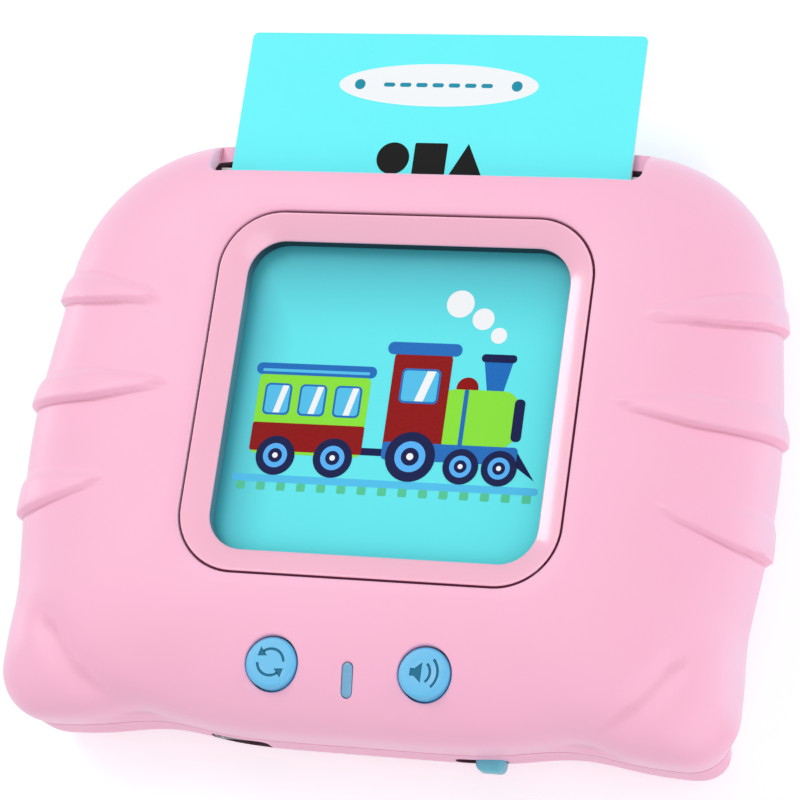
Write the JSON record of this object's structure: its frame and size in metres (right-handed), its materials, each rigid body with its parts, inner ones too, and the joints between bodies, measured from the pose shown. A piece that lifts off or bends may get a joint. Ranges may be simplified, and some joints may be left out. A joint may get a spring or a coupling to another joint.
{
  "type": "kids toy tablet",
  "caption": "Handheld card-reading learning tablet with a rounded, ridged case, a square window, a picture card in a top slot, two push buttons, an indicator and a slide switch.",
  "frame": {"origin": "on the flat back face, straight behind the middle of the window", "axes": "+X to the right of the front face, +Y towards the card slot, +Z out of the front face"},
  "size_m": [0.1044, 0.0986, 0.0213],
  "materials": {
    "case": "satin moulded pink ABS",
    "case_back": "satin moulded pink ABS",
    "bezel": "satin moulded pink ABS",
    "card": "coated card, printed cyan",
    "inner_plastic": "plain moulded",
    "circuit_board": "green solder mask",
    "chips": "black moulding",
    "ribbon": "clear to white film",
    "buttons": "satin sky blue",
    "lens": "tinted clear plastic",
    "plated_metal": "tin plated",
    "knob": "satin teal blue",
    "speaker_paper": "black paper",
    "foam": "adhesive foam",
    "battery_foil": "foil pouch",
    "screws": "zinc plated",
    "red_wire": "insulated wire",
    "black_wire": "insulated wire",
    "grey_wire": "insulated wire"
  },
  "bodies": {
    "case": {"front_shell": "case", "rear_shell": "case_back", "window_frame": "bezel", "card_tray": "inner_plastic", "reader_board": "circuit_board", "card_sensor_1": "chips", "card_sensor_2": "chips", "card_sensor_3": "chips", "card_sensor_4": "chips", "reader_ribbon": "ribbon", "repeat_switch_body": "plated_metal", "volume_switch_body": "plated_metal", "status_led": "ribbon", "indicator_light_pipe": "lens", "main_board": "circuit_board", "sound_chip": "chips", "memory_chip": "chips", "filter_capacitor": "plated_metal", "usb_socket": "plated_metal", "power_switch_body": "plated_metal", "speaker_basket": "plated_metal", "speaker_cone": "speaker_paper", "speaker_magnet": "plated_metal", "battery_pad": "foam", "battery_cell": "battery_foil", "case_screw_1": "screws", "case_screw_2": "screws", "case_screw_3": "screws", "case_screw_4": "screws", "board_screw_1": "screws", "board_screw_2": "screws", "battery_lead_red": "red_wire", "battery_lead_black": "black_wire", "speaker_lead_right": "grey_wire", "speaker_lead_left": "grey_wire"},
    "repeat_key": {"repeat_button": "buttons", "repeat_switch_plunger": "chips"},
    "volume_key": {"volume_button": "buttons", "volume_switch_plunger": "chips"},
    "power_slider": {"power_knob": "knob", "power_switch_actuator": "chips"},
    "card": {"flash_card": "card"}
  },
  "joints": [
    {"name": "repeat_press", "type": "slide", "parent": "case", "child": "repeat_key", "axis": [0, 0, -1], "range_m": [0, 0.0008], "stiffness_N_per_m": 300, "springref_m": -0.0004},
    {"name": "volume_press", "type": "slide", "parent": "case", "child": "volume_key", "axis": [0, 0, -1], "range_m": [0, 0.0008], "stiffness_N_per_m": 300, "springref_m": -0.0004},
    {"name": "power_slide", "type": "slide", "parent": "case", "child": "power_slider", "axis": [-1, 0, 0], "range_m": [0, 0.0024]},
    {"name": "card_slide", "type": "slide", "parent": "case", "child": "card", "axis": [0, 1, 0], "range_m": [0, 0.062]}
  ]
}
